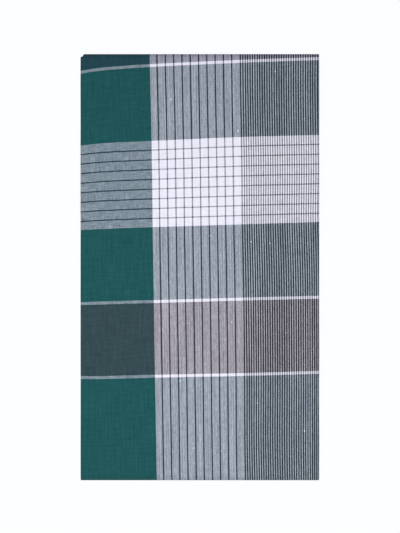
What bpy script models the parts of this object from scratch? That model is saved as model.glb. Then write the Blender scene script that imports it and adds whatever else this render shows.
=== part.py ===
"""A lungi, a sewn tube of checked cotton, folded flat into the packet that it is kept and sold in.

The tube is laid flat and doubled across its height, which makes a sheet of four plies. The sheet's left
third and then its right third are turned under, which makes a strip of three leaves. The strip is folded
in three along its length, so the packet is three passes of the strip: the top pass, the middle pass,
which is turned under at the far end, and the bottom pass, which is turned under at the near end and lies
on the table. Metres, +Z up, +Y towards the far end, the origin under the middle of the packet.

A place in the strip is given as a station along it, x across it, and depth inside its outer face.
"""

import math

import bmesh
import bpy

# The cloth
CLOTH_HEIGHT = 1.200  # from selvedge to selvedge, which is the lungi's height when it is worn
PLY = 0.00035  # one thickness of pressed cotton, with the air in it
PLIES_IN_A_LEAF = 4  # two walls of the tube, doubled across the height
LEAVES_IN_A_PASS = 3
PASSES = 3

# The packet
WIDTH = CLOTH_HEIGHT / 2 / LEAVES_IN_A_PASS
LENGTH = 0.3576
LEAF = PLY * PLIES_IN_A_LEAF
PASS = LEAF * LEAVES_IN_A_PASS
GAP = 0.0003  # between one solid and the next, and between the leaves
WALL = LEAF - GAP
HEIGHT = PASS * PASSES - GAP
TURNED_UNDER = 0.014  # how far the outer leaf runs on inside, past each long edge
FREE_EDGE = 0.0009  # how far the innermost leaf's free edge lies inside the left edge

# The folds at the two short ends, each a half circle about a line along x
FAR_RADIUS = PASS - GAP / 2  # from the top pass to the middle one
NEAR_RADIUS = HEIGHT / 2  # from the top pass to the bottom one, round the middle one's end
FAR_AXIS = (LENGTH / 2 - FAR_RADIUS, HEIGHT - FAR_RADIUS)  # y, z
NEAR_AXIS = (NEAR_RADIUS - LENGTH / 2, NEAR_RADIUS)

# Where the strip's own ends lie, the outer leaf's and then the inner leaves'
MIDDLE_PASS_ENDS = (NEAR_AXIS[0] + 0.0004, NEAR_AXIS[0] + 0.0012)
BOTTOM_PASS_ENDS = (LENGTH / 2 - 0.0020, LENGTH / 2 - 0.0029)

# How the pressed packet departs from a box
MIDDLE_INSET = 0.0008  # the middle pass's long edges lie this far inside those of the top pass
BOTTOM_INSET = 0.0005
SWELL = 0.0006  # the top stands this much higher in the middle than at its edges
CORNER = 0.0026  # the far left corner is tucked in by this much
CORNER_REACH = 0.030  # how far across the packet that tuck is felt
TAPER = 0.0004  # the right edge draws in by this much over its far stretch
TAPER_STRETCH = 0.280
SQUARE_ALONG = 2.5  # the curve of a long edge's fold: 2 is a half circle, and more is squarer
SQUARE_AT_ENDS = 7.0  # the same where the strip turns over at a short end, so the corners are sharp

# How finely the curves are divided
STEPS_ACROSS = 8
STEPS_ALONG = 9
STEPS_ROUND_AN_EDGE = 8
STEPS_ROUND_AN_END = 10

CLOTH_COLOUR = (0.28, 0.36, 0.38, 1.0)
INNER_COLOUR = (0.03, 0.09, 0.10, 1.0)
ROUGHNESS = 0.9


def clear_scene():
    for old in list(bpy.data.objects):
        bpy.data.objects.remove(old)


def collection_named(name):
    made = bpy.data.collections.new(name)
    bpy.context.scene.collection.children.link(made)
    return made


def cotton(name, colour):
    made = bpy.data.materials.new(name)
    made.use_nodes = True
    shader = made.node_tree.nodes["Principled BSDF"]
    shader.inputs["Base Color"].default_value = colour
    shader.inputs["Roughness"].default_value = ROUGHNESS
    shader.inputs["Metallic"].default_value = 0.0
    return made


def eased(share):
    """0 to 1 with no corner at either end."""
    share = min(max(share, 0.0), 1.0)
    return share * share * (3 - 2 * share)


def spread(start, end, steps):
    return [start + (end - start) * i / steps for i in range(steps + 1)]


def strip_stations(middle_end, bottom_end):
    """The places along the strip, from its end in the middle pass to its end in the bottom pass.

    Each is (kind, value): the value is y on a pass, and the angle above the horizon in a folded end.
    """
    far_y, near_y = FAR_AXIS[0], NEAR_AXIS[0]
    upright = math.pi / 2
    stations = [("middle", y) for y in spread(middle_end, far_y, STEPS_ALONG)[:-1]]
    stations += [("far", a) for a in spread(-upright, upright, STEPS_ROUND_AN_END)]
    stations += [("top", y) for y in spread(far_y, near_y, STEPS_ALONG)[1:-1]]
    stations += [("near", a) for a in spread(upright, -upright, STEPS_ROUND_AN_END)]
    stations += [("bottom", y) for y in spread(near_y, bottom_end, STEPS_ALONG)[1:]]
    return stations


def along_the_strip(station, depth):
    """(y, z) of a point that lies depth inside the strip's outer face."""
    kind, value = station
    if kind == "middle":
        return value, PASS + depth
    if kind == "top":
        return value, HEIGHT - depth
    if kind == "bottom":
        return value, depth
    if kind == "far":
        radius = FAR_RADIUS - depth
        return FAR_AXIS[0] + radius * math.cos(value), FAR_AXIS[1] + radius * math.sin(value)
    radius = NEAR_RADIUS - depth
    return NEAR_AXIS[0] - radius * math.cos(value), NEAR_AXIS[1] + radius * math.sin(value)


def inset_at(station):
    """How much narrower the strip is there, on each side, than in the top pass."""
    kind, value = station
    turned = eased(-math.sin(value))  # 0 down to the end's tip, and 1 at the pass below
    insets = {
        "top": 0.0,
        "middle": MIDDLE_INSET,
        "bottom": BOTTOM_INSET,
        "far": MIDDLE_INSET * turned,
        "near": BOTTOM_INSET * turned,
    }
    return insets[kind]


def folded(station, x, depth):
    """Where a point of the strip lies in the packet."""
    y, z = along_the_strip(station, depth)
    half = WIDTH / 2
    x *= (half - inset_at(station)) / half
    tuck = CORNER * min(max((y - (LENGTH / 2 - CORNER)) / CORNER, 0.0), 1.0)
    x += tuck * eased((CORNER_REACH - half - x) / CORNER_REACH)
    taper = TAPER * eased((y - (LENGTH / 2 - TAPER_STRETCH)) / TAPER_STRETCH)
    x -= taper * eased((x + half) / WIDTH)
    rise = max(z - PASS, 0.0) / (HEIGHT - PASS)  # the bottom pass stays flat
    across = max(1 - (x / half) ** 2, 0.0)
    along = max(1 - (2 * y / LENGTH) ** 4, 0.0)
    return x, y, z + SWELL * rise * across * along


def squareness(station):
    """The exponent of a long edge's fold there."""
    kind, value = station
    turned = math.cos(value) if kind in ("far", "near") else 0.0
    return SQUARE_ALONG + (SQUARE_AT_ENDS - SQUARE_ALONG) * turned


def fold_curve(centre_x, centre_depth, radius, side, power):
    """Points of a fold that bulges left (-1) or right (1), the deepest first."""
    points = []
    for angle in spread(math.pi / 2, -math.pi / 2, STEPS_ROUND_AN_EDGE):
        deep = math.copysign(abs(math.sin(angle)) ** (2 / power), angle)
        out = max(math.cos(angle), 0.0) ** (2 / power)
        points.append((centre_x + side * radius * out, centre_depth + radius * deep))
    return points


def outer_leaf_section(station):
    """The outer leaf across the strip, as its outer and inner line, each a list of (x, depth).

    Its left fold holds one more leaf inside it, and its right fold holds two.
    """
    half = WIDTH / 2
    power = squareness(station)
    left_radius, right_radius = LEAF / 2, LEAF  # of the middle of the wall
    left_x = -half + left_radius + WALL / 2
    right_x = half - right_radius - WALL / 2
    lines = []
    for away in (WALL / 2, -WALL / 2):
        left = fold_curve(left_x, WALL / 2 + left_radius, left_radius + away, -1, power)
        right = fold_curve(right_x, WALL / 2 + right_radius, right_radius + away, 1, power)[::-1]
        face = [(x, WALL / 2 - away) for x in spread(left_x, right_x, STEPS_ACROSS)[1:-1]]
        left_end = (-half + TURNED_UNDER, left[0][1])
        right_end = (half - TURNED_UNDER, right[-1][1])
        lines.append([left_end, *left, *face, *right, right_end])
    return lines


def inner_leaves_section(station):
    """The two inner leaves across the strip, as their upper and lower line.

    The first goes from the left fold's turned end to the right fold, and the second from its free edge
    on the left to the right fold's turned end. They are one where they lie on each other.
    """
    half = WIDTH / 2
    first_face, first_back = LEAF, LEAF + WALL
    second_face, second_back = 2 * LEAF, 2 * LEAF + WALL
    free_x = -half + FREE_EDGE
    left_x = -half + TURNED_UNDER + GAP
    right_x = half - TURNED_UNDER - GAP
    round_x = half - LEAF - WALL / 2
    rounding = WALL / 4
    step = 0.001
    upper = [(free_x, second_face + rounding), (free_x + rounding, second_face), (left_x, second_face)]
    lower = [(free_x, second_back - rounding), (free_x + rounding, second_back), (left_x, second_back)]
    across = spread(left_x + step, right_x - step, STEPS_ACROSS)
    upper += [(left_x, first_face), *[(x, first_face) for x in across[1:]], (right_x, first_face)]
    lower += [(x, second_back) for x in across[:-1]] + [(right_x, second_back), (right_x, first_back)]
    for angle in spread(math.pi / 2, math.pi / 12, 4):
        x = round_x + WALL / 2 * math.cos(angle)
        upper.append((x, LEAF + WALL / 2 - WALL / 2 * math.sin(angle)))
        lower.append((x, LEAF + WALL / 2 + WALL / 2 * math.sin(angle)))
    return upper, lower


def sweep(name, section_at, stations, material, collection):
    """A solid whose section, two lines that run side by side, is carried along the strip."""
    shell = bmesh.new()
    loops = []
    for station in stations:
        one_side, other_side = section_at(station)
        section = [*one_side, *other_side[::-1]]
        loops.append([shell.verts.new(folded(station, x, depth)) for x, depth in section])
    count = len(one_side)
    for loop, following in zip(loops, loops[1:]):
        for i in range(2 * count):
            j = (i + 1) % (2 * count)
            shell.faces.new((loop[i], loop[j], following[j], following[i]))
    for loop in (loops[0], loops[-1]):
        for i in range(count - 1):
            shell.faces.new((loop[i], loop[i + 1], loop[-2 - i], loop[-1 - i]))
    bmesh.ops.recalc_face_normals(shell, faces=shell.faces)
    mesh = bpy.data.meshes.new(name)
    shell.to_mesh(mesh)
    shell.free()
    mesh.materials.append(material)
    piece = bpy.data.objects.new(name, mesh)
    collection.objects.link(piece)
    return piece


def main():
    clear_scene()
    packet = collection_named("lungi")
    outer_ends, inner_ends = zip(MIDDLE_PASS_ENDS, BOTTOM_PASS_ENDS)
    outer = strip_stations(*outer_ends)
    inner = strip_stations(*inner_ends)
    sweep("outer_leaf", outer_leaf_section, outer, cotton("cloth", CLOTH_COLOUR), packet)
    sweep("hidden_layers", inner_leaves_section, inner, cotton("inner_cloth", INNER_COLOUR), packet)


main()
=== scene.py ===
"""The looks of a folded lungi: its outer leaf, the plies that show at its edges, and its checked weave.

The form follows the CAD model's, in metres. Each vertex holds its count of both, and the material works from
those.
"""

import functools
import math

import bmesh
import bpy
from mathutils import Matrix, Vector, noise

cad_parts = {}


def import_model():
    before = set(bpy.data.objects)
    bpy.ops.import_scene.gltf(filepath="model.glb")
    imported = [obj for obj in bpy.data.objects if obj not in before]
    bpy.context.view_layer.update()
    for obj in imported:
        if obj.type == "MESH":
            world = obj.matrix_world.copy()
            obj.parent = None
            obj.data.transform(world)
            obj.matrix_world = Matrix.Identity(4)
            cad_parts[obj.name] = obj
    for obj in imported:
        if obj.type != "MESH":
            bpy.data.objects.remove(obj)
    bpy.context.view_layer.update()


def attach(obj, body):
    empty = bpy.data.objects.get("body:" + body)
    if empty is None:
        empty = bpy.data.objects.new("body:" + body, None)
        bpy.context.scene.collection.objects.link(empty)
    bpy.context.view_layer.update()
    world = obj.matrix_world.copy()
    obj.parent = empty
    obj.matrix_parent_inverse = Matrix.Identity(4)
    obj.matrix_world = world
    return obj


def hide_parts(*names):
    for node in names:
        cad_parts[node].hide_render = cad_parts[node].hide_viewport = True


MM = 0.001

# The packet's form, as in the CAD but for a squarer far left corner, 0.1 mm less length, and a right edge
# that doesn't draw in. A place in the strip is a station along it, x across it, and depth.
WIDTH = 0.200
HALF = WIDTH / 2
LENGTH = 0.3575
LEAF = 0.0014
PASS = 3 * LEAF
GAP = 0.0003
WALL = LEAF - GAP
HEIGHT = 3 * PASS - GAP
TURNED_UNDER = 0.014  # how far the outer leaf runs on inside, past each long edge
FREE_EDGE = 0.0009  # how far the innermost leaf's free edge lies inside the left edge
FAR_RADIUS = PASS - GAP / 2
NEAR_RADIUS = HEIGHT / 2
FAR_AXIS = (LENGTH / 2 - FAR_RADIUS, HEIGHT - FAR_RADIUS)
NEAR_AXIS = (NEAR_RADIUS - LENGTH / 2, NEAR_RADIUS)
MIDDLE_PASS_ENDS = (NEAR_AXIS[0] + 0.0004, NEAR_AXIS[0] + 0.0012)  # the outer leaf's, the inner leaves'
BOTTOM_PASS_ENDS = (LENGTH / 2 - 0.0020, LENGTH / 2 - 0.0029)
MIDDLE_INSET = 0.0008  # how far each long edge lies inside the top pass's
BOTTOM_INSET = 0.0005
SWELL = 0.0006  # the top stands this much higher in the middle than at its edges
CORNER = 0.0026  # the far left corner is tucked in by this much, both ways
CORNER_CURVE = 0.3  # 1 is a straight bevel, and less is nearer a square notch
CORNER_REACH = 0.030  # how far across the packet that tuck is felt
SQUARE_ALONG, SQUARE_AT_ENDS = 2.5, 7.0  # the curve of a long edge's fold: 2 is a half circle

# The plies that show where the leaves end
SELVEDGE_DEPTH = 0.0030  # how far in the free edge's four plies lie apart
SELVEDGE_SETS = (0.0002, 0.0008, 0.0000, 0.0005)  # how far back each ply's edge is set
SELVEDGE_LAP = 0.0010  # how far a ply runs on into the leaf
PLY_ROOM = WALL / 4
PLY_FILL = 0.86  # how much of its room a ply fills
ROLL_DEPTH = 0.0014  # how long the rolled edges are where the strip ends in the tube's folded sides
ROLL_SETS = ((0.0000, 0.0006), (0.0010, 0.0004), (0.0002, 0.0008))  # two rolls to a leaf
ROLL_LAP = 0.0004
ROLL_ROOM = WALL / 2
ROLL_FILL = 0.92
TIP_FLAT = 0.3  # the flat at a ply's rounded tip, as a share of its thickness
EDGE_WANDER = 0.0003  # how far those edges wander
SELVEDGE_WAVE, ROLL_WAVE = 17.0, 23.0  # mm from one change in such an edge to the next
PLY_SEED, SELVEDGE_SEED = 3.7, 2.2  # these make each edge wander in its own way
ROLL_SEED, SET_BACK_SEED = 5.1, 4000.0

# How pressed cloth departs from flat and straight
WAVES = [
    # changes for each metre across and along, seed, and height
    (14, 11, 3.1, 0.00022),
    (45, 30, 8.7, 0.00007),
]
LONG_EDGE_SWING = 0.00010  # how far the long edges wander
LONG_EDGE_BAND = 0.012  # how far in from them that is felt
LONG_EDGE_CHANGES = (30, 260)  # for each metre along and up
LONG_EDGE_SEEDS = (1.5, 5.5)  # for the left edge and the right one

# How finely the shapes are divided
STEPS_ACROSS = 64
STEPS_ON_TOP = 120
STEPS_ON_BOTTOM = 84
STEPS_ON_HIDDEN_PASS = 60
STEPS_ROUND_FAR_END = 16
STEPS_ROUND_NEAR_END = 24
STEPS_ROUND_LEFT_FOLD = 12
STEPS_ROUND_RIGHT_FOLD = 14
STEPS_ROUND_A_TIP = 4

# How the cloth lies in the packet. Across is from its middle to the right, and along is the run of the
# strip from its middle towards the near end, both in mm.
ENDS_AT = [(-99.6, 0), (-39.1, 174), (-33.2, 191), (29.0, 371), (35.7, 390), (99.6, 584)]  # across, ends
LEAN_AT = [(-43.0, 6.2), (-34.0, 5.8), (34.5, 3.9), (67.0, 1.9), (100.0, 0.0)]  # across, lean in the length
LEAN_ALONG = (-200.0, 215.0)  # the warp leans to the right between these, and is straight past them
PULLS = [
    # Where the warp is pulled out of line: across, along, how far it is felt across and along, and how
    # far its ends stray to the left
    (95, -150, 80, 70, 1.25),
    (-60, -105, 80, 60, -0.50),
    (85, -40, 55, 35, 1.00),
    (110, 135, 15, 230, 1.55),
    (55, 145, 35, 35, 0.60),
    (130, 175, 75, 300, -1.50),
]
PICK = 0.4078  # from one pick to the next
FIRST_PICK = -168.8  # the place along of the first pick counted
BOW_ACROSS = (-97, -82, -44, 38, 91)
BOW = [
    # along, and how far a pick has risen towards the far end at each place across
    (-168, (-5.0, -2.8, 0.0, 3.8, 5.7)),
    (-105, (-3.4, -1.8, 0.1, 3.6, 5.0)),
    (-33, (-2.2, -1.4, 0.0, 2.6, 4.2)),
    (29, (-1.4, -0.9, 0.1, 2.4, 3.7)),
    (92, (-1.0, -1.0, 0.0, 1.6, 3.1)),
    (190, (-0.5, -0.6, 0.0, 0.9, 2.1)),
]
BOW_REACH = (-104.0, 104.0)  # across, past which a pick rises no further
BOW_ALONG = (-200.0, 190.0)  # past these the bow stays as it is
LEAN_ROUNDS, BOW_ROUNDS = 3, 2  # of closing in on where a thread would lie without them

# The check, counted in ends and picks. Each repeat of the warp is mirrored about end 0, in the middle of
# the solid band, so it is given from there to the middle of the fine stripes.
COUNTS_LAYER = "cloth"  # where each vertex keeps its ends and picks
WARP_REPEAT = 1168
SOLID_BAND, FINE_BAND = 174, 390  # where the solid band stops, and where the fine stripes start
PIN_FIRST, PIN_STEP, PIN_ENDS = 191, 20, 3.1  # the first pinstripe, their step, and the ends in one
PIN_BAND = (188, 388)  # where they may lie
FINE_STEP, FINE_ENDS = 6, 3.39  # the fine stripes' step, and the ends in a dark one
WEFT_REPEAT = 1056
WEFT_BANDS = [
    # first pick, yarn
    (-3.0, "bar"),
    (3.0, "green"),
    (155.0, "white"),
    (332.0, "green"),
    (482.0, "bar"),
    (488.0, "plum"),
    (635.0, "bar"),
    (641.0, "green"),
    (902.0, "bar"),
    (908.0, "navy"),
]
WEFT_START = WEFT_BANDS[0][0]
WHITE_WEFTS = ("white", "bar")
LINE_FIRST, LINE_STEP, LINE_PICKS = 174, 20, 2.4  # the same as for the pinstripes, in the white weft
LINE_BAND = (172, 320)

# Yarns as they look in the cloth, 0 to 255 on the screen. A warp's first look is under a coloured weft and
# its second is under a white one. A weft's first look is over the solid warp and its second over stripes.
YARNS = {
    # warp and weft
    "green": ((27, 82, 85), (37, 75, 83)),
    # warp only
    "white warp": ((229, 217, 232), (236, 235, 249)),
    "pin": ((21, 19, 40), (78, 79, 93)),
    "fine white": ((238, 227, 241), (246, 248, 255)),
    "fine dark": ((21, 19, 32), (61, 64, 80)),
    # weft only
    "white": ((233, 221, 237), (239, 237, 252)),
    "bar": ((233, 221, 237), (227, 225, 240)),
    "line": ((21, 19, 32), (76, 85, 99)),
    "plum": ((80, 56, 66), (50, 59, 65)),
    "navy": ((38, 47, 68), (38, 59, 78)),
}
WARP_SHARE = 0.575  # how much of the colour is the warp's, on average
WEAVE_CONTRAST = 0.14  # how much more it is where the warp is on top, and less where the weft is
YARN_ROUNDNESS = 0.6  # 1 is a yarn that rises as a sine, and less is a flatter one

# Unevenness, each row being changes for each end, changes for each pick, seed, and strength. The first
# two tables are how far white ends and white picks stand out.
WARP_STREAKS = [(0.33, 0.007, 0.0, 0.42), (0.36, 0.080, 4.0, 0.34), (0.25, 0.55, 9.0, 0.34)]
WEFT_STREAKS = [(0.85, 0.050, 1.0, 0.55), (0.05, 0.70, 7.0, 0.55)]
DYE_STREAKS = [(0.26, 0.018, 2.0, 0.078), (0.022, 0.26, 5.0, 0.056), (0.13, 0.13, 3.0, 0.040)]
REED_MARKS = [(0.175, 0.045), (0.189, 0.025)]  # regular, in white ends: waves for each end, strength
NEP_CELL = (105.0, 150.0)  # ends and picks for each small knot of undyed fibre
NEP_SIZE = 0.0125  # of its cell
NEP_STRENGTH = 0.42

# Finishes
SCREEN_GAMMA = 2.2
MEAN_OF_CHANNELS = (1 / 3, 1 / 3, 1 / 3)
BUMP_STRENGTH = 0.6
BUMP_HEIGHT = 0.00006
COTTON = {
    "Roughness": 0.88,
    "Specular IOR Level": 0.25,
    "Sheen Weight": 0.02,
    "Sheen Roughness": 0.5,
}
GROUND = {
    # It glows, so that it stays near-white under a light that is right for the cloth
    "Base Color": (0.02, 0.02, 0.02, 1.0),
    "Roughness": 1.0,
    "Specular IOR Level": 0.0,
    "Emission Color": (0.975, 0.984, 1.0, 1.0),
    "Emission Strength": 0.987,
}
GROUND_REACH = 4.0  # each way
GROUND_DROP = 0.0002  # how far it lies under the packet

# The camera and the light
CAMERA_OVER = (0.00008, 0.00063)
CAMERA_DISTANCE = 3.0  # from the packet's top
FRAMED_LENGTH = 0.4464  # what the picture's height spans at the packet's top
SENSOR_HEIGHT = 24.0  # mm
SKY_COLOUR = (0.98, 0.99, 1.0, 1.0)
SKY_STRENGTH = 0.30
KEY_PLACE = (-0.12, -0.13, 0.8)
KEY_SIZE = 0.7
KEY_WATTS = 5.85


# Shape helpers


def clamped(value, low, high):
    return min(max(value, low), high)


def eased(share):
    """0 to 1 with no corner at either end."""
    share = clamped(share, 0.0, 1.0)
    return share * share * (3 - 2 * share)


def spread(start, end, steps):
    return [start + (end - start) * i / steps for i in range(steps + 1)]


def along_table(table, x):
    """The value at x of a table of points joined by straight lines, which run on past its ends."""
    for (x0, y0), (x1, y1) in zip(table, table[1:]):
        if x <= x1:
            break
    return y0 + (y1 - y0) * (x - x0) / (x1 - x0)


def smooth_table(places, values, x):
    """The value at x of a smooth curve through the values at those places, straight past its ends."""
    last = len(places) - 1
    if x <= places[0] or x >= places[last]:
        return along_table(list(zip(places, values)), x)
    i = max(k for k in range(last) if places[k] <= x)
    slopes = []
    for k in (i, i + 1):
        before, after = max(k - 1, 0), min(k + 1, last)
        slopes.append((values[after] - values[before]) / (places[after] - places[before]))
    span = places[i + 1] - places[i]
    t = (x - places[i]) / span
    start = (1 + 2 * t) * (1 - t) ** 2 * values[i] + t * (1 - t) ** 2 * span * slopes[0]
    end = t * t * (3 - 2 * t) * values[i + 1] - t * t * (1 - t) * span * slopes[1]
    return start + end


def stations(middle_end, bottom_end):
    """Places along the strip, as (kind, value, run), run being millimetres from the packet's middle.

    The value is y on a pass, and the angle above the horizon in a folded end.
    """
    far_y, near_y = FAR_AXIS[0], NEAR_AXIS[0]
    upright = math.pi / 2
    found = []
    for y in spread(middle_end, far_y, STEPS_ON_HIDDEN_PASS)[:-1]:
        found.append(("middle", y, (y - 2 * far_y - math.pi * FAR_RADIUS) / MM))
    for angle in spread(-upright, upright, STEPS_ROUND_FAR_END):
        found.append(("far", angle, (-far_y - FAR_RADIUS * (upright - angle)) / MM))
    for y in spread(far_y, near_y, STEPS_ON_TOP)[1:-1]:
        found.append(("top", y, -y / MM))
    for angle in spread(upright, -upright, STEPS_ROUND_NEAR_END):
        found.append(("near", angle, (-near_y + NEAR_RADIUS * (upright - angle)) / MM))
    found += [bottom_station(y) for y in spread(near_y, bottom_end, STEPS_ON_BOTTOM)[1:]]
    return found


def bottom_station(y):
    return "bottom", y, (math.pi * NEAR_RADIUS + y - 2 * NEAR_AXIS[0]) / MM


def along_the_strip(kind, value, depth):
    """(y, z) of a point that lies depth inside the strip's outer face."""
    if kind == "middle":
        return value, PASS + depth
    if kind == "top":
        return value, HEIGHT - depth
    if kind == "bottom":
        return value, depth
    if kind == "far":
        radius = FAR_RADIUS - depth
        return FAR_AXIS[0] + radius * math.cos(value), FAR_AXIS[1] + radius * math.sin(value)
    radius = NEAR_RADIUS - depth
    return NEAR_AXIS[0] - radius * math.cos(value), NEAR_AXIS[1] + radius * math.sin(value)


def inset_at(kind, value):
    """How much narrower the strip is there, on each side, than in the top pass."""
    turned = eased(-math.sin(value))
    insets = {
        "top": 0.0,
        "middle": MIDDLE_INSET,
        "bottom": BOTTOM_INSET,
        "far": MIDDLE_INSET * turned,
        "near": BOTTOM_INSET * turned,
    }
    return insets[kind]


def folded(station, x, depth):
    """Where a point of the strip lies in the packet."""
    kind, value, _ = station
    y, z = along_the_strip(kind, value, depth)
    x *= (HALF - inset_at(kind, value)) / HALF
    into_corner = clamped((y - (LENGTH / 2 - CORNER)) / CORNER, 0.0, 1.0)
    x += CORNER * into_corner ** CORNER_CURVE * eased((CORNER_REACH - HALF - x) / CORNER_REACH)
    rise = max(z - PASS, 0.0) / (HEIGHT - PASS)  # the bottom pass stays flat
    across = max(1 - (x / HALF) ** 2, 0.0)
    along = max(1 - (2 * y / LENGTH) ** 4, 0.0)
    z += SWELL * rise * across * along
    return settled(x, y, z, rise)


def settled(x, y, z, rise):
    """Pressed cloth isn't quite flat or straight: broad shallow waves, and edges that wander a little."""
    waves = 0.0
    for across, along, seed, height in WAVES:
        waves += height * noise.noise(Vector((x * across, y * along, seed)))
    z += waves * rise
    along, up = LONG_EDGE_CHANGES
    left_seed, right_seed = LONG_EDGE_SEEDS
    wander = noise.noise(Vector((y * along, z * up, right_seed if x > 0 else left_seed)))
    near_edge = eased((abs(x) - HALF + LONG_EDGE_BAND) / LONG_EDGE_BAND)
    x += LONG_EDGE_SWING * wander * near_edge
    return Vector((x, y, z))


# The cloth's own coordinates


def strayed(run, across):
    """How far the pulls in the cloth carry an end to the left there, in millimetres."""
    total = 0.0
    for centre, middle, reach, reach_along, strength in PULLS:
        away = ((across - centre) / reach) ** 2 + ((run - middle) / reach_along) ** 2
        total += strength * math.exp(-away)
    return total


@functools.lru_cache(maxsize=None)
def rises_at(across):
    """BOW at a distance across the cloth, as a table along it."""
    place = clamped(across, *BOW_REACH)
    return [(along, smooth_table(BOW_ACROSS, row, place)) for along, row in BOW]


def cloth_place(run, across):
    """(ends, picks) of the cloth at a run along the strip and a distance across it, in millimetres.

    An end's level is where it would lie across the packet if it didn't lean or stray, and a pick's is
    where it would lie along it if it didn't bow.
    """
    swayed = across + strayed(run, across)
    lean_run = clamped(run, *LEAN_ALONG)
    level = swayed
    for _ in range(LEAN_ROUNDS):
        lean = along_table(LEAN_AT, clamped(level, LEAN_AT[0][0], LEAN_AT[-1][0]))
        level = swayed - lean * lean_run / LENGTH * MM
    ends = along_table(ENDS_AT, level)
    rises = rises_at(across)
    level = run
    for _ in range(BOW_ROUNDS):
        level = run + along_table(rises, clamped(level, *BOW_ALONG))
    return ends, (level - FIRST_PICK) / PICK


# Building


def new_shell():
    shell = bmesh.new()
    return shell, shell.verts.layers.float_vector.new(COUNTS_LAYER)


def add_tube(shell, cloth, rings):
    """A closed solid through rings of (station, x, depth, millimetres across the cloth).

    A ring runs down one side and back up the other, so its points pair off across it.
    """
    loops = []
    for ring in rings:
        loop = []
        for station, x, depth, across in ring:
            vertex = shell.verts.new(folded(station, x, depth))
            vertex[cloth] = Vector((*cloth_place(station[2], across), 0.0))
            loop.append(vertex)
        loops.append(loop)
    count = len(loops[0])
    for loop, following in zip(loops, loops[1:]):
        for i in range(count):
            j = (i + 1) % count
            shell.faces.new((loop[i], loop[j], following[j], following[i]))
    for loop in (loops[0], loops[-1]):
        for i in range(count // 2 - 1):
            shell.faces.new((loop[i], loop[i + 1], loop[-2 - i], loop[-1 - i]))


def finished(name, shell, material):
    """The shell as a smooth object of that material, in the scene."""
    bmesh.ops.recalc_face_normals(shell, faces=shell.faces)
    mesh = bpy.data.meshes.new(name)
    shell.to_mesh(mesh)
    shell.free()
    mesh.shade_smooth()
    mesh.materials.append(material)
    piece = bpy.data.objects.new(name, mesh)
    bpy.context.scene.collection.objects.link(piece)
    return piece


def squareness(station):
    """The exponent of a fold's curve: 2 is a half circle, and more is squarer."""
    kind, value, _ = station
    turned = math.cos(value) if kind in ("far", "near") else 0.0
    return SQUARE_ALONG + (SQUARE_AT_ENDS - SQUARE_ALONG) * turned


def half_round(centre_x, centre_depth, radius, side, power, steps):
    """Points of a fold's curve that bulges left (-1) or right (1), the deepest first."""
    points = []
    for angle in spread(math.pi / 2, -math.pi / 2, steps):
        deep = math.copysign(abs(math.sin(angle)) ** (2 / power), angle)
        out = abs(math.cos(angle)) ** (2 / power)
        points.append((centre_x + side * radius * out, centre_depth + radius * deep))
    return points


@functools.lru_cache(maxsize=None)
def outer_lines(power):
    """The outer leaf's outer and inner line, as points of (x, depth), and the millimetres across it."""
    left_radius, right_radius = LEAF / 2, LEAF
    left_x, left_depth = -HALF + left_radius + WALL / 2, WALL / 2 + left_radius
    right_x, right_depth = HALF - right_radius - WALL / 2, WALL / 2 + right_radius
    lines = []
    for away in (WALL / 2, -WALL / 2):
        left = half_round(left_x, left_depth, left_radius + away, -1, power, STEPS_ROUND_LEFT_FOLD)
        right = half_round(right_x, right_depth, right_radius + away, 1, power, STEPS_ROUND_RIGHT_FOLD)
        face = [(x, WALL / 2 - away) for x in spread(left_x, right_x, STEPS_ACROSS)[1:-1]]
        left_end = (-HALF + TURNED_UNDER, left[0][1])
        right_end = (HALF - TURNED_UNDER, right[0][1])
        lines.append([left_end, *left, *face, *right[::-1], right_end])
    outer, inner = lines
    reach = [0.0]
    for (x0, d0), (x1, d1) in zip(outer, outer[1:]):
        reach.append(reach[-1] + math.hypot(x1 - x0, d1 - d0) / MM)
    face_start = 1 + len(left)
    middle = reach[face_start] - outer[face_start][0] / MM  # along the face, reach and x go together
    return outer, inner, [r - middle for r in reach]


def inner_leaf_lines():
    """The upper and lower line of each of the two inner leaves, and the millimetres across the cloth.

    The first ends in the cloth's middle fold, inside the right fold of the outer leaf, and the second in
    its selvedges, on the left.
    """
    turned = math.pi * LEAF / MM / 2
    first = spread(-HALF + TURNED_UNDER + GAP, HALF - LEAF - WALL / 2, STEPS_ACROSS)
    second = spread(-HALF + FREE_EDGE + SELVEDGE_DEPTH, HALF - TURNED_UNDER - GAP, STEPS_ACROSS)
    leaves = []
    for order, places in ((1, first), (2, second)):
        upper = [(x, order * LEAF) for x in places]
        lower = [(x, order * LEAF + WALL) for x in places]
        edge = -HALF if order == 1 else HALF
        across = [(2 * edge - x) / MM + math.copysign(order * turned, edge) for x in places]
        leaves.append((upper, lower, across))
    return leaves


def ring_through(station, lines):
    """A ring down a leaf's one line and back along its other."""
    upper, lower, across = lines
    there = [(station, x, depth, reach) for (x, depth), reach in zip(upper, across)]
    back = [(station, x, depth, reach) for (x, depth), reach in zip(lower, across)]
    return [*there, *back[::-1]]


def bullnose(length, thickness):
    """Half the outline of a ply's rounded edge, as (how far in from the tip, how far off its middle)."""
    radius = thickness / 2
    angles = spread(0.0, math.pi / 2, STEPS_ROUND_A_TIP)
    arc = [(radius - radius * math.cos(a), radius * math.sin(a)) for a in angles[1:]]
    return [(0.0, radius * TIP_FLAT), *arc, (length, radius)]


def edge_wander(place, *seeds):
    """How far a ply's edge wanders at a place along it."""
    return EDGE_WANDER * noise.noise(Vector((place, *seeds)))


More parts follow.
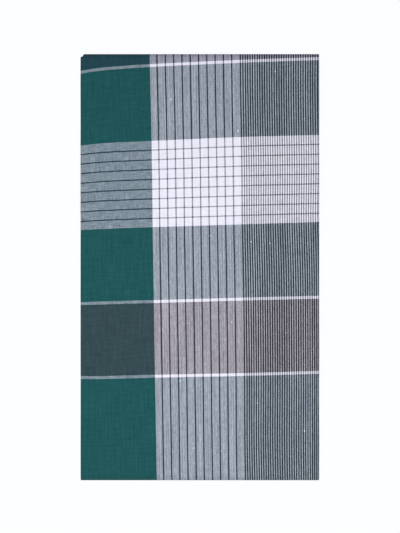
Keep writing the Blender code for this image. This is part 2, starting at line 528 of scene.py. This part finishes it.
def add_selvedges(shell, cloth, places):
    """The four plies at the innermost leaf's free edge, each with its own uneven edge."""
    tip_across = (3 * HALF - FREE_EDGE + math.pi * LEAF) / MM
    for ply, back in enumerate(SELVEDGE_SETS):
        middle = 2 * LEAF + (ply + 0.5) * PLY_ROOM
        outline = bullnose(SELVEDGE_DEPTH + SELVEDGE_LAP - back, PLY_ROOM * PLY_FILL)
        rings = []
        for station in places:
            wander = edge_wander(station[2] / SELVEDGE_WAVE, ply * PLY_SEED, SELVEDGE_SEED)
            tip = -HALF + FREE_EDGE + back + wander
            there = [(station, tip + far, middle - off, tip_across) for far, off in outline]
            under = [(station, tip + far, middle + off, tip_across) for far, off in outline]
            rings.append([*there, *under[::-1]])
        add_tube(shell, cloth, rings)


def add_rolls(shell, cloth, lines, end_y, sets):
    """The two rolled edges of a leaf where the strip ends, each a side of the flattened tube."""
    upper, lower, across = lines
    for roll, back in enumerate(sets):
        outline = bullnose(ROLL_DEPTH + ROLL_LAP - back, ROLL_ROOM * ROLL_FILL)
        rings = []
        for (x0, d0), (x1, d1), reach in zip(upper, lower, across):
            wander = edge_wander(reach / ROLL_WAVE, roll * ROLL_SEED, back * SET_BACK_SEED)
            tip = end_y - back - wander
            there, under = [], []
            for far, off in outline:
                station = bottom_station(tip - far)
                for side, points in ((-1, there), (1, under)):
                    share = ((roll + 0.5) * ROLL_ROOM + side * off) / WALL
                    place = (x0 + (x1 - x0) * share, d0 + (d1 - d0) * share)
                    points.append((station, *place, reach))
            rings.append([*there, *under[::-1]])
        add_tube(shell, cloth, rings)


def build_outer_leaf(material):
    shell, cloth = new_shell()
    end_y = BOTTOM_PASS_ENDS[0]
    places = stations(MIDDLE_PASS_ENDS[0], end_y - ROLL_DEPTH)
    add_tube(shell, cloth, [ring_through(place, outer_lines(squareness(place))) for place in places])
    add_rolls(shell, cloth, outer_lines(SQUARE_ALONG), end_y, ROLL_SETS[0])
    return finished("outer_cloth", shell, material)


def build_inner_leaves(material):
    shell, cloth = new_shell()
    end_y = BOTTOM_PASS_ENDS[1]
    places = stations(MIDDLE_PASS_ENDS[1], end_y - ROLL_DEPTH)
    for lines, sets in zip(inner_leaf_lines(), ROLL_SETS[1:]):
        add_tube(shell, cloth, [ring_through(place, lines) for place in places])
        add_rolls(shell, cloth, lines, end_y, sets)
    add_selvedges(shell, cloth, places)
    return finished("inner_cloth", shell, material)


# Materials


class Nodes:
    """A short way to write a node tree: each call adds a node and returns its output."""

    def __init__(self, name):
        self.material = bpy.data.materials.new(name)
        self.material.use_nodes = True
        self.tree = self.material.node_tree
        self.shader = self.tree.nodes["Principled BSDF"]

    def put(self, value, socket):
        if isinstance(value, bpy.types.NodeSocket):
            self.tree.links.new(value, socket)
        else:
            socket.default_value = value

    def set_shader(self, values):
        for name, value in values.items():
            self.shader.inputs[name].default_value = value

    def math(self, operation, *values):
        node = self.tree.nodes.new("ShaderNodeMath")
        node.operation = operation
        for value, socket in zip(values, node.inputs):
            self.put(value, socket)
        return node.outputs[0]

    def mix(self, share, first, second):
        """The first colour at 0 and the second at 1. A colour mix has its sockets at 0, 6 and 7."""
        node = self.tree.nodes.new("ShaderNodeMix")
        node.data_type = "RGBA"
        self.put(share, node.inputs[0])
        self.put(first, node.inputs[6])
        self.put(second, node.inputs[7])
        return node.outputs[2]

    def vector(self, x, y, z):
        node = self.tree.nodes.new("ShaderNodeCombineXYZ")
        for value, socket in zip((x, y, z), node.inputs):
            self.put(value, socket)
        return node.outputs[0]

    def vector_math(self, operation, first, second):
        node = self.tree.nodes.new("ShaderNodeVectorMath")
        node.operation = operation
        self.put(first, node.inputs[0])
        self.put(second, node.inputs[1])
        return node.outputs["Value" if operation == "DOT_PRODUCT" else "Vector"]

    def counts(self):
        """The cloth's ends and picks."""
        place = self.tree.nodes.new("ShaderNodeAttribute")
        place.attribute_name = COUNTS_LAYER
        split = self.tree.nodes.new("ShaderNodeSeparateXYZ")
        self.put(place.outputs["Vector"], split.inputs[0])
        return split.outputs[0], split.outputs[1]

    def within(self, value, start, end):
        """1 where start < value < end."""
        above = self.math("GREATER_THAN", value, start)
        below = self.math("LESS_THAN", value, end)
        return self.math("MULTIPLY", above, below)

    def past_step(self, value, start, step):
        """How far a value is past the last of the steps that go both ways from start."""
        return self.math("FLOORED_MODULO", self.math("SUBTRACT", value, start), step)

    def streaks(self, ends, picks, table):
        """Smooth noise about 0, each layer drawn out along whichever yarn it changes least along."""
        total = 0.0
        for per_end, per_pick, seed, strength in table:
            across = self.math("MULTIPLY", ends, per_end)
            along = self.math("MULTIPLY", picks, per_pick)
            node = self.tree.nodes.new("ShaderNodeTexNoise")
            self.put(self.vector(across, along, seed), node.inputs["Vector"])
            node.inputs["Scale"].default_value = 1.0
            node.inputs["Detail"].default_value = 1.0
            offset = self.math("SUBTRACT", node.outputs["Fac"], 0.5)
            total = self.math("MULTIPLY_ADD", offset, strength, total)
        return total

    def waves(self, ends, table):
        """Sine waves about 0 across the cloth, added up."""
        total = 0.0
        for per_end, strength in table:
            wave = self.math("SINE", self.math("MULTIPLY", ends, 2 * math.pi * per_end))
            total = self.math("MULTIPLY_ADD", wave, strength, total)
        return total

    def neps(self, ends, picks):
        """1 inside scattered small spots."""
        across = self.math("DIVIDE", ends, NEP_CELL[0])
        along = self.math("DIVIDE", picks, NEP_CELL[1])
        node = self.tree.nodes.new("ShaderNodeTexVoronoi")
        node.voronoi_dimensions = "2D"
        self.put(self.vector(across, along, 0.0), node.inputs["Vector"])
        node.inputs["Scale"].default_value = 1.0
        return self.math("LESS_THAN", node.outputs["Distance"], NEP_SIZE)


def yarn(name, look):
    return (*(channel / 255 for channel in YARNS[name][look]), 1.0)


def warp_colours(nodes, ends):
    """The warp yarn at a count of ends: its two looks, and whether it is one of the striped bands."""
    half = WARP_REPEAT / 2
    shifted = nodes.past_step(ends, -half, WARP_REPEAT)
    mirrored = nodes.math("ABSOLUTE", nodes.math("SUBTRACT", shifted, half))
    in_pin_step = nodes.past_step(mirrored, PIN_FIRST - PIN_ENDS / 2, PIN_STEP)
    pin = nodes.math("LESS_THAN", in_pin_step, PIN_ENDS)
    pin = nodes.math("MULTIPLY", pin, nodes.within(mirrored, *PIN_BAND))
    in_fine_step = nodes.past_step(mirrored, FINE_BAND, FINE_STEP)
    fine = nodes.math("LESS_THAN", in_fine_step, FINE_ENDS)
    in_fine_band = nodes.math("GREATER_THAN", mirrored, FINE_BAND)
    solid = nodes.math("LESS_THAN", mirrored, SOLID_BAND)
    looks = []
    for look in (0, 1):
        wide = nodes.mix(pin, yarn("white warp", look), yarn("pin", look))
        narrow = nodes.mix(fine, yarn("fine white", look), yarn("fine dark", look))
        striped = nodes.mix(in_fine_band, wide, narrow)
        looks.append(nodes.mix(solid, striped, yarn("green", look)))
    return looks, nodes.math("SUBTRACT", 1.0, solid)


def weft_colours(nodes, picks):
    """The weft yarn at a count of picks: its two looks, and whether it is white."""
    counted = nodes.past_step(picks, WEFT_START, WEFT_REPEAT)
    looks = [yarn(WEFT_BANDS[0][1], look) for look in (0, 1)]
    white = 1.0
    for first, name in WEFT_BANDS[1:]:
        past = nodes.math("GREATER_THAN", counted, first - WEFT_START)
        looks = [nodes.mix(past, before, yarn(name, look)) for look, before in enumerate(looks)]
        change = 1.0 if name in WHITE_WEFTS else -1.0
        white = nodes.math("MULTIPLY_ADD", past, change, white)
    in_step = nodes.past_step(counted, LINE_FIRST - WEFT_START - LINE_PICKS / 2, LINE_STEP)
    near_lines = nodes.within(counted, *(pick - WEFT_START for pick in LINE_BAND))
    line = nodes.math("MULTIPLY", nodes.math("LESS_THAN", in_step, LINE_PICKS), near_lines)
    looks = [nodes.mix(line, before, yarn("line", look)) for look, before in enumerate(looks)]
    return looks, nodes.math("SUBTRACT", white, line)


def plain_weave(nodes, ends, picks):
    """How much of the colour is the warp's at each crossing, and how high the yarn on top stands."""
    over = nodes.math("SINE", nodes.math("MULTIPLY", ends, math.pi))
    under = nodes.math("SINE", nodes.math("MULTIPLY", picks, math.pi))
    crossing = nodes.math("MULTIPLY", over, under)
    warp_share = nodes.math("MULTIPLY_ADD", nodes.math("SIGN", crossing), WEAVE_CONTRAST, WARP_SHARE)
    return warp_share, nodes.math("POWER", nodes.math("ABSOLUTE", crossing), YARN_ROUNDNESS)


def unevenness(nodes, ends, picks, warp, weft):
    """How much lighter the cloth is there, and how thick its warp is.

    Thick and thin yarns show most where the two differ, and the dye is faintly streaked all over.
    """
    warp_streaks = nodes.streaks(ends, picks, WARP_STREAKS)
    weft_streaks = nodes.streaks(ends, picks, WEFT_STREAKS)
    marked = nodes.math("ADD", warp_streaks, nodes.waves(ends, REED_MARKS))
    standing_out = nodes.math("MULTIPLY_ADD", nodes.neps(ends, picks), NEP_STRENGTH, marked)
    difference = nodes.vector_math("SUBTRACT", warp, weft)
    contrast = nodes.vector_math("DOT_PRODUCT", difference, MEAN_OF_CHANNELS)
    shade = nodes.math("MULTIPLY", standing_out, nodes.math("MAXIMUM", contrast, 0.0))
    shade = nodes.math("MULTIPLY_ADD", weft_streaks, nodes.math("MINIMUM", contrast, 0.0), shade)
    shade = nodes.math("ADD", shade, nodes.streaks(ends, picks, DYE_STREAKS))
    return shade, warp_streaks


def checked_cotton():
    """Plain weave: each crossing shows its warp or its weft, so a check is a mix of two yarns."""
    nodes = Nodes("checked_cotton")
    ends, picks = nodes.counts()
    warps, warp_striped = warp_colours(nodes, ends)
    wefts, weft_white = weft_colours(nodes, picks)
    warp = nodes.mix(weft_white, *warps)
    weft = nodes.mix(warp_striped, *wefts)
    warp_share, yarn_height = plain_weave(nodes, ends, picks)
    check = nodes.mix(warp_share, weft, warp)
    shade, warp_streaks = unevenness(nodes, ends, picks, warp, weft)

    gamma = nodes.tree.nodes.new("ShaderNodeGamma")
    gamma.inputs["Gamma"].default_value = SCREEN_GAMMA
    nodes.put(nodes.vector_math("ADD", check, nodes.vector(shade, shade, shade)), gamma.inputs["Color"])
    nodes.put(gamma.outputs[0], nodes.shader.inputs["Base Color"])

    bump = nodes.tree.nodes.new("ShaderNodeBump")
    bump.inputs["Strength"].default_value = BUMP_STRENGTH
    bump.inputs["Distance"].default_value = BUMP_HEIGHT
    nodes.put(nodes.math("ADD", yarn_height, warp_streaks), bump.inputs["Height"])
    nodes.put(bump.outputs[0], nodes.shader.inputs["Normal"])
    nodes.set_shader(COTTON)
    return nodes.material


def pale_ground():
    """The plain near-white ground that the packet lies on."""
    nodes = Nodes("pale_ground")
    nodes.set_shader(GROUND)
    return nodes.material


# The scene


def build_camera():
    """Straight above, with a long lens, framing 335 mm by 446 mm at the packet's top."""
    camera = bpy.data.cameras.new("camera")
    camera.sensor_fit = "VERTICAL"
    camera.sensor_height = SENSOR_HEIGHT
    camera.lens = SENSOR_HEIGHT * CAMERA_DISTANCE / FRAMED_LENGTH
    holder = bpy.data.objects.new("camera", camera)
    holder.location = (*CAMERA_OVER, CAMERA_DISTANCE + HEIGHT)
    bpy.context.scene.collection.objects.link(holder)
    bpy.context.scene.camera = holder


def build_light():
    """An even sky, and a broad light overhead, a little to the near left."""
    world = bpy.data.worlds.new("world")
    world.use_nodes = True
    sky = world.node_tree.nodes["Background"]
    sky.inputs["Color"].default_value = SKY_COLOUR
    sky.inputs["Strength"].default_value = SKY_STRENGTH
    bpy.context.scene.world = world
    light = bpy.data.lights.new("key", "AREA")
    light.shape = "DISK"
    light.size = KEY_SIZE
    light.energy = KEY_WATTS
    holder = bpy.data.objects.new("key", light)
    holder.location = KEY_PLACE
    holder.rotation_euler = (-holder.location).to_track_quat("-Z", "Y").to_euler()
    bpy.context.scene.collection.objects.link(holder)


def build_ground():
    shell = bmesh.new()
    bmesh.ops.create_grid(shell, x_segments=1, y_segments=1, size=GROUND_REACH)
    ground = finished("ground", shell, pale_ground())
    ground.location.z = -GROUND_DROP
    return ground


def main():
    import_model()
    bpy.context.scene.view_settings.view_transform = "Standard"
    cotton = checked_cotton()

    outer = build_outer_leaf(cotton)
    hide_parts("outer_leaf")
    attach(outer, "root")

    inner = build_inner_leaves(cotton)
    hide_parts("hidden_layers")
    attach(inner, "root")

    build_camera()
    build_light()
    build_ground()


main()
